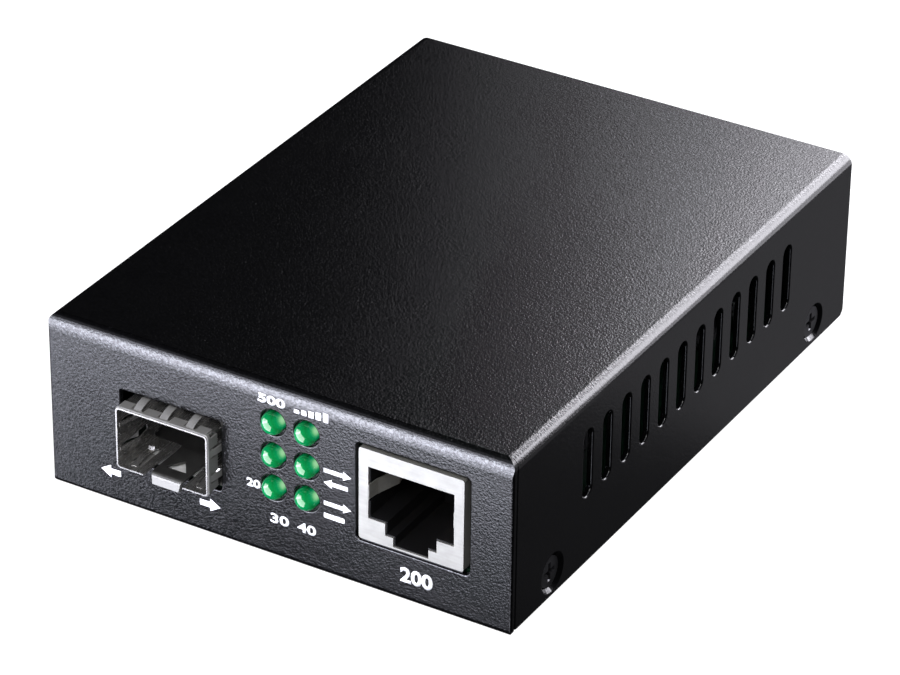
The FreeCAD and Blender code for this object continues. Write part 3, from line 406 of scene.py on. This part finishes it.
use(capacitor(), "smoothing_capacitors")
use(plastic("regulator_body", (0.024, 0.024, 0.026), (0.5, 0.65), 0.09, 0.006), "voltage_regulator")
use(plastic("fuse_body", (0.05, 0.11, 0.26), (0.35, 0.5), 0.15, 0.006), "resettable_fuse")


def passive(name, body):
    m = Mat(name)
    g = m.noise(0.12, 2.0)
    m.set("Base Color", m.ramp(g, [(0.3, tuple(c * 0.85 for c in body)), (0.7, tuple(min(1, c * 1.15) for c in body))]))
    m.set("Roughness", m.remap(g, 0.3, 0.7, 0.35, 0.5))
    m.set("Normal", m.bump(g, 0.004, 0.8))
    return m


use(passive("resistor_body", (0.016, 0.016, 0.018)), "smd_resistors")
use(passive("ceramic_body", (0.40, 0.29, 0.18)), "smd_capacitors")


# ------------------------------------------------------------------ printed marks
def ink():
    m = Mat("print_white")
    g = m.noise(0.12, 3.0, 0.6)
    m.set("Base Color", m.ramp(g, [(0.3, (0.72, 0.72, 0.72)), (0.7, (0.86, 0.86, 0.86))]))
    m.set("Roughness", m.remap(g, 0.3, 0.7, 0.42, 0.58))
    m.set("Normal", m.bump(m.noise(0.42, 1.5, 0.45), 0.008, 0.7))
    return m


INK = ink()
PRINT_T = 0.012  # thickness of the ink, mm


def add_mesh(name, bm, mat, smooth=False):
    me = bpy.data.meshes.new(name)
    bm.to_mesh(me)
    bm.free()
    me.materials.append(mat)
    o = bpy.data.objects.new(name, me)
    bpy.context.scene.collection.objects.link(o)
    if smooth:
        me.shade_smooth()
    return o


def loop_prism(bm, pts, y0, y1):
    """Closed outline in the front plane (x, z in mm), given a thickness along Y."""
    a = [bm.verts.new(P(x, y0, z)) for x, z in pts]
    b = [bm.verts.new(P(x, y1, z)) for x, z in pts]
    bm.faces.new(a)
    bm.faces.new(b[::-1])
    n = len(pts)
    for i in range(n):
        bm.faces.new((a[i], b[i], b[(i + 1) % n], a[(i + 1) % n]))
    return a + b


def numeral(name, text, x0, x1, z0, z1, bold=0.05):
    """A plain printed numeral that fills the given box on the front panel (mm)."""
    cu = bpy.data.curves.new(name + "_c", "FONT")
    cu.body = text
    cu.size = 1.0
    cu.extrude = 0.0
    cu.offset = 0.0
    cu.resolution_u = 4
    ob = bpy.data.objects.new(name + "_c", cu)
    bpy.context.scene.collection.objects.link(ob)
    bpy.context.view_layer.update()
    dims = [v for v in ob.bound_box]
    w = max(v[0] for v in dims) - min(v[0] for v in dims)
    h = max(v[1] for v in dims) - min(v[1] for v in dims)
    lx, lz = min(v[0] for v in dims), min(v[1] for v in dims)
    sx = (x1 - x0 - 2 * bold) / w
    sz = (z1 - z0 - 2 * bold) / h
    cu.offset = bold / ((sx + sz) / 2.0)
    dg = bpy.context.evaluated_depsgraph_get()
    me = bpy.data.meshes.new_from_object(ob.evaluated_get(dg))
    bpy.data.objects.remove(ob)
    bm = bmesh.new()
    bm.from_mesh(me)
    bpy.data.meshes.remove(me)
    bmesh.ops.remove_doubles(bm, verts=bm.verts, dist=1e-5)
    for v in bm.verts:
        x, z = v.co.x, v.co.y
        v.co = P(x0 + bold + (x - lx) * sx, -PRINT_T, z0 + bold + (z - lz) * sz)
    bmesh.ops.recalc_face_normals(bm, faces=bm.faces)
    if bm.faces and bm.faces[:][0].normal.y > 0:
        bmesh.ops.reverse_faces(bm, faces=bm.faces)
    ret = bmesh.ops.extrude_face_region(bm, geom=bm.faces[:])
    for v in ret["geom"]:
        if isinstance(v, bmesh.types.BMVert):
            v.co.y += (PRINT_T - 0.001) * MM
    bmesh.ops.recalc_face_normals(bm, faces=bm.faces)
    o = add_mesh(name, bm, INK.m)
    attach(o, BODY)
    return o


def shape_mark(name, outlines):
    bm = bmesh.new()
    for pts in outlines:
        loop_prism(bm, pts, -PRINT_T, -0.001)
    bmesh.ops.recalc_face_normals(bm, faces=bm.faces)
    o = add_mesh(name, bm, INK.m)
    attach(o, BODY)
    return o


def bar(x0, x1, z0, z1, r=0.12, n=4):
    pts = []
    for cx, cz, a0 in ((x1 - r, z0 + r, 270), (x1 - r, z1 - r, 0), (x0 + r, z1 - r, 90), (x0 + r, z0 + r, 180)):
        for i in range(n + 1):
            a = math.radians(a0 + 90.0 * i / n)
            pts.append((cx + r * math.cos(a), cz + r * math.sin(a)))
    return pts


BODY = list(frame["bodies"])[0]

def side_arrow(x0, x1, zc, h, right=True):
    """Plain arrow that lies along X."""
    w = x1 - x0
    s = h * 0.23
    n = x1 - min(0.5 * w, 0.9 * h)
    pts = [(x0, zc - s), (n, zc - s), (n, zc - h / 2), (x1, zc), (n, zc + h / 2), (n, zc + s), (x0, zc + s)]
    if not right:
        pts = [(x0 + x1 - x, z) for x, z in pts][::-1]
    return pts


# over the lamps: a plain number and a row of rising blocks
numeral("print_over_left", "500", 32.5, 36.6, 22.95, 24.4, 0.10)
shape_mark("print_over_right", [bar(37.9 + 1.08 * i, 38.7 + 1.08 * i, 23.0, 23.55 + 0.2 * i, 0.1) for i in range(5)])
numeral("print_lamp_left", "20", 30.6, 32.7, 9.7, 11.0, 0.07)
# beside the lamps: two opposed arrows, and an arrow over a bar
shape_mark("print_lamp_middle", [side_arrow(42.3, 46.4, 15.9, 1.35, True), side_arrow(42.3, 45.9, 14.1, 1.35, False)])
shape_mark("print_lamp_lower", [side_arrow(42.3, 46.4, 11.0, 1.35, True), bar(42.3, 45.4, 8.75, 9.5, 0.15)])
numeral("print_column_left", "30", 34.2, 37.0, 5.3, 6.8, 0.07)
numeral("print_column_right", "40", 38.3, 41.1, 5.3, 6.8, 0.07)
numeral("print_socket", "200", 53.7, 58.5, 3.0, 5.3, 0.12)
shape_mark("print_cage_left", [side_arrow(7.8, 10.9, 4.75, 1.9, False)])
shape_mark("print_cage_right", [side_arrow(23.3, 26.5, 4.75, 1.9, True)])


# ------------------------------------------------------------------ stage and light
def floor():
    bm = bmesh.new()
    s = 6.0
    vs = [bm.verts.new((x, y, -0.0002)) for x, y in ((-s, -s), (s, -s), (s, s), (-s, s))]
    bm.faces.new(vs)
    me = bpy.data.meshes.new("floor")
    bm.to_mesh(me)
    bm.free()
    mat = bpy.data.materials.new("floor_pale")
    mat.use_nodes = True
    t = mat.node_tree
    t.nodes.clear()
    out = t.nodes.new("ShaderNodeOutputMaterial")
    d = t.nodes.new("ShaderNodeBsdfDiffuse")
    d.inputs["Color"].default_value = (0.25, 0.25, 0.25, 1)
    e = t.nodes.new("ShaderNodeEmission")
    e.inputs["Color"].default_value = (1, 1, 1, 1)
    e.inputs["Strength"].default_value = 0.93
    add = t.nodes.new("ShaderNodeAddShader")
    t.links.new(d.outputs[0], add.inputs[0])
    t.links.new(e.outputs[0], add.inputs[1])
    tr = t.nodes.new("ShaderNodeBsdfTransparent")
    geo = t.nodes.new("ShaderNodeNewGeometry")
    mx = t.nodes.new("ShaderNodeMixShader")
    t.links.new(geo.outputs["Backfacing"], mx.inputs[0])
    t.links.new(add.outputs[0], mx.inputs[1])
    t.links.new(tr.outputs[0], mx.inputs[2])
    t.links.new(mx.outputs[0], out.inputs[0])
    me.materials.append(mat)
    o = bpy.data.objects.new("floor", me)
    bpy.context.scene.collection.objects.link(o)
    o.visible_diffuse = False
    o.visible_glossy = False
    o.visible_transmission = False
    o.visible_shadow = False
    return o


floor()

world = bpy.data.worlds.new("studio")
world.use_nodes = True
wt = world.node_tree
wt.nodes.clear()
wo = wt.nodes.new("ShaderNodeOutputWorld")
wb = wt.nodes.new("ShaderNodeBackground")
wb.inputs["Color"].default_value = (0.9, 0.93, 1.0, 1)
wb.inputs["Strength"].default_value = 0.016
wc = wt.nodes.new("ShaderNodeBackground")
wc.inputs["Color"].default_value = (1.0, 1.0, 1.0, 1)
wc.inputs["Strength"].default_value = 1.0
lp = wt.nodes.new("ShaderNodeLightPath")
wm = wt.nodes.new("ShaderNodeMixShader")
wt.links.new(lp.outputs["Is Camera Ray"], wm.inputs[0])
wt.links.new(wb.outputs[0], wm.inputs[1])
wt.links.new(wc.outputs[0], wm.inputs[2])
wt.links.new(wm.outputs[0], wo.inputs[0])
bpy.context.scene.world = world


def wall(name, y, x0, x1, z0, z1, radiance, color):
    """Upright softbox, in millimetres like P(); it shines toward the case."""
    w, h = (x1 - x0) * MM, (z1 - z0) * MM
    li = bpy.data.lights.new(name, "AREA")
    li.shape = "RECTANGLE"
    li.size, li.size_y = w, h
    li.energy = radiance * math.pi * w * h
    li.color = color
    o = bpy.data.objects.new(name, li)
    bpy.context.scene.collection.objects.link(o)
    c = P((x0 + x1) / 2, y, (z0 + z1) / 2)
    k = 1.0 if y > 0 else -1.0    # the lamp's own +Z points away from the case
    o.matrix_world = Matrix(((k, 0, 0, c.x), (0, 0, k, c.y), (0, 1, 0, c.z), (0, 0, 0, 1)))
    o.visible_camera = False
    return o


# A soft wall of light behind and to the right of the case. It fades out toward
# the left, so the top goes from grey at the right rear to near black at the left.
BACK = (1.0, 0.985, 1.06)
for name, x0, x1, z0, z1, rad in (
        ("back_fade", -60, -30, 60, 230, 0.45),
        ("back_fade_near", -30, 0, 60, 230, 1.35),
        ("back_edge_high", 0, 30, 110, 240, 8.5),
        ("back_edge_low", 0, 30, 10, 110, 2.03),
        ("back_mid_low", 30, 130, 10, 110, 12.4),
        ("back_mid_high", 30, 130, 110, 240, 8.5),
        ("back_right_high", 130, 240, 60, 200, 10.6),
        ("back_right_low", 130, 240, -20, 60, 2.8),
        ("back_table_low", 100, 330, -170, -110, 0.035),
        ("back_table", 100, 330, -110, -20, 0.21)):
    wall(name, 214, x0, x1, z0, z1, rad, BACK)

# A second one close in front and a little to the left. Its brightest strip is at
# table height: that strip makes the highlight along the panel's rolled edge.
FRONT = (0.96, 0.98, 1.13)
for name, x0, x1, z0, z1, rad in (
        ("front_strip_left", -90, -50, 0, 30, 17.6),
        ("front_strip", -50, 40, 0, 30, 18.9),
        ("front_below", -90, 40, -30, 0, 9.2),
        ("front_low", -90, 40, -60, -30, 5.1),
        ("front_above", -90, 40, 30, 60, 3.0),
        ("front_left", -150, -90, -60, 40, 2.0),
        ("front_right_low", 60, 130, -110, -60, 3.2),
        ("front_under", -20, 60, -110, -60, 0.5),
        ("front_left_below", -260, -90, -170, -60, 3.0),
        ("front_far_left", -260, -150, -60, 0, 5.0)):
    wall(name, -110, x0, x1, z0, z1, rad, FRONT)
wall("front_high", -250, -300, 100, 150, 300, 0.45, FRONT)


def tilted(name, c, along, radiance, color, w, h):
    """Softbox of w by h mm at c (mm) that faces the lamps; its long side runs along a direction."""
    aim = (P(37.2, 0, 15.5) - P(*c)).normalized()
    x = Vector(along)
    x = (x - x.dot(aim) * aim).normalized()
    z = -aim
    y = z.cross(x)
    li = bpy.data.lights.new(name, "AREA")
    li.shape = "RECTANGLE"
    li.size, li.size_y = w * MM, h * MM
    li.energy = radiance * math.pi * w * h * MM * MM
    li.color = color
    o = bpy.data.objects.new(name, li)
    bpy.context.scene.collection.objects.link(o)
    p = P(*c)
    o.matrix_world = Matrix(((x.x, y.x, z.x, p.x), (x.y, y.y, z.y, p.y), (x.z, y.z, z.z, p.z), (0, 0, 0, 1)))
    o.visible_camera = False
    return o


# The lamps have a light of their own, low at the left, that lays a pale crescent on each dome.
tilted("lamp_light_front", (-120, -260, -70), (0.857, 0.0, -0.515), 11.0, (0.97, 1.0, 1.0), 526, 400)
tilted("lamp_light_left", (-260, -118, 55), (0.0, 0.852, -0.523), 9.0, (0.97, 1.0, 1.0), 478, 170)


def overhead(name, x0, x1, y0, y1, z, radiance, color):
    w, h = (x1 - x0) * MM, (y1 - y0) * MM
    li = bpy.data.lights.new(name, "AREA")
    li.shape = "RECTANGLE"
    li.size, li.size_y = w, h
    li.energy = radiance * math.pi * w * h
    li.color = color
    o = bpy.data.objects.new(name, li)
    bpy.context.scene.collection.objects.link(o)
    o.location = P((x0 + x1) / 2, (y0 + y1) / 2, z)
    o.visible_camera = False
    return o


overhead("top_soft", 0, 260, -220, 120, 330, 2.4, (0.97, 0.98, 1.05))
overhead("top_front", 40, 300, -520, -220, 330, 8.0, (1.0, 0.99, 0.99))


def link_lights():
    """The walls in front light everything but the lamps; the lamps' own lights only light them."""
    scene = bpy.context.scene
    lamps = bpy.data.collections.new("lamps_lit")
    rest = bpy.data.collections.new("rest_lit")
    own = [NODES[n] for n in LAMPS]
    for o in scene.objects:
        if o.type == "MESH":
            (lamps if o in own else rest).objects.link(o)
    for o in scene.objects:
        if o.type == "LIGHT" and o.name.startswith("lamp_light"):
            o.light_linking.receiver_collection = lamps
        elif o.type == "LIGHT" and o.name.startswith(("front_", "top_")):
            o.light_linking.receiver_collection = rest


link_lights()


# ------------------------------------------------------------------ camera
def camera():
    az, el, roll = math.radians(30.327), math.radians(30.65), math.radians(0.715)
    right0 = Vector((math.cos(az), math.sin(az), 0))
    back = Vector((math.sin(az) * math.cos(el), -math.cos(az) * math.cos(el), math.sin(el)))
    up0 = back.cross(right0)
    r = math.cos(roll) * right0 + math.sin(roll) * up0
    u = -math.sin(roll) * right0 + math.cos(roll) * up0
    loc = Vector((-1.907, 1.3, 8.807)) * MM + back * 597.78 * MM
    cam = bpy.data.cameras.new("camera")
    cam.lens = 175.38
    cam.sensor_width = 36.0
    cam.sensor_fit = "HORIZONTAL"
    cam.clip_start, cam.clip_end = 0.01, 50.0
    o = bpy.data.objects.new("camera", cam)
    bpy.context.scene.collection.objects.link(o)
    o.matrix_world = Matrix(((r.x, u.x, back.x, loc.x), (r.y, u.y, back.y, loc.y), (r.z, u.z, back.z, loc.z), (0, 0, 0, 1)))
    bpy.context.scene.camera = o


camera()
bpy.context.scene.view_settings.view_transform = "Standard"
bpy.context.scene.view_settings.look = "None"
